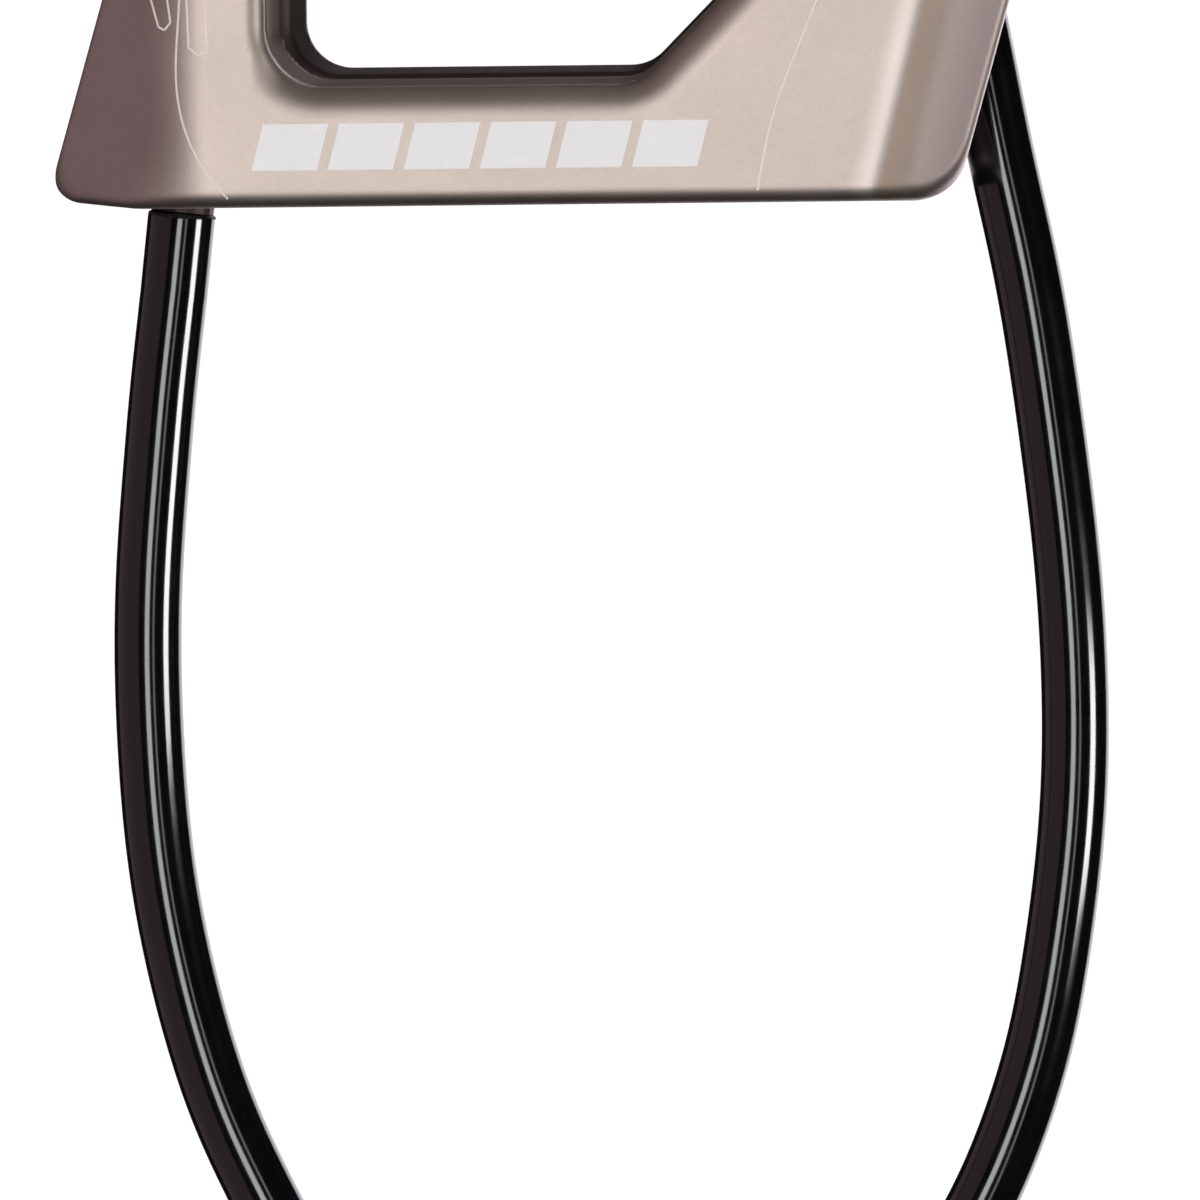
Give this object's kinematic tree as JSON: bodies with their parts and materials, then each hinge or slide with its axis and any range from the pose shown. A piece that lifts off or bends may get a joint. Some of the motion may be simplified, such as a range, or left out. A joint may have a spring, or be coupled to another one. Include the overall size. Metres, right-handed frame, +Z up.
{
  "type": "tubular belay device",
  "caption": "Two-slot tubular belay device: a forged aluminium body with windowed walls, V-grooved brake end and a black sheathed wire keeper loop.",
  "frame": {"origin": "middle of the centre web's flat bottom face, where the locking carabiner bears", "axes": "+Z up through the rope slots, away from the carabiner; +X towards the brake end with its V grooves; the front wall faces -Y"},
  "size_m": [0.0713, 0.038, 0.1251],
  "materials": {
    "anodised_body": "satin champagne anodised, hot forged and tumbled",
    "black_sheath": "glossy black extruded plastic",
    "wire_rope": "galvanised steel wire rope",
    "crimped_steel": "crimped steel sleeve, satin"
  },
  "bodies": {
    "device": {"body": "anodised_body", "ferrule_climber_side": "crimped_steel", "ferrule_brake_side": "crimped_steel", "sheath_root_climber_side": "black_sheath", "sheath_root_brake_side": "black_sheath", "core_root_climber_side": "wire_rope", "core_root_brake_side": "wire_rope"},
    "keeper": {"keeper_sheath": "black_sheath", "keeper_core": "wire_rope"}
  },
  "joints": [
    {"name": "keeper_flex", "type": "hinge", "parent": "device", "child": "keeper", "pos_m": [-0.02252, 0, -0.00696], "axis": [0.955, 0, 0.2967], "range_deg": [-38, 38], "stiffness_Nm_per_rad": 0.3}
  ]
}
